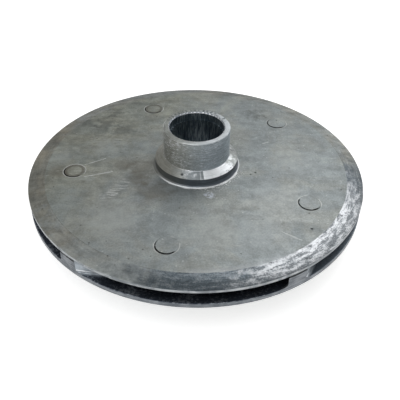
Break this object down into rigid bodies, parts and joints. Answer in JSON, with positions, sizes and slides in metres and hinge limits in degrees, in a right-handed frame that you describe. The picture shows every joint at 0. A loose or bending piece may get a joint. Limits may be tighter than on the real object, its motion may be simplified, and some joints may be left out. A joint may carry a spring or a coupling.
{
  "type": "pump impeller",
  "caption": "Closed centrifugal pump impeller in cast aluminium: a hub disc with a splined hub, riveted over swept vanes on a disc with a suction neck.",
  "frame": {"origin": "centre of the suction neck's end face", "axes": "+Z along the shaft axis, from the suction neck to the hub's end; +X and +Y lie in the neck's end face, and the first stud stands 29 degrees clockwise of +X seen from +Z"},
  "size_m": [0.204, 0.204, 0.0628],
  "materials": {
    "cast_aluminium": "as cast and mottled, with satin turned surfaces on the hub, the collar and the rim"
  },
  "bodies": {
    "root": {"hub_disc": "cast_aluminium", "vane_disc": "cast_aluminium"}
  },
  "joints": []
}
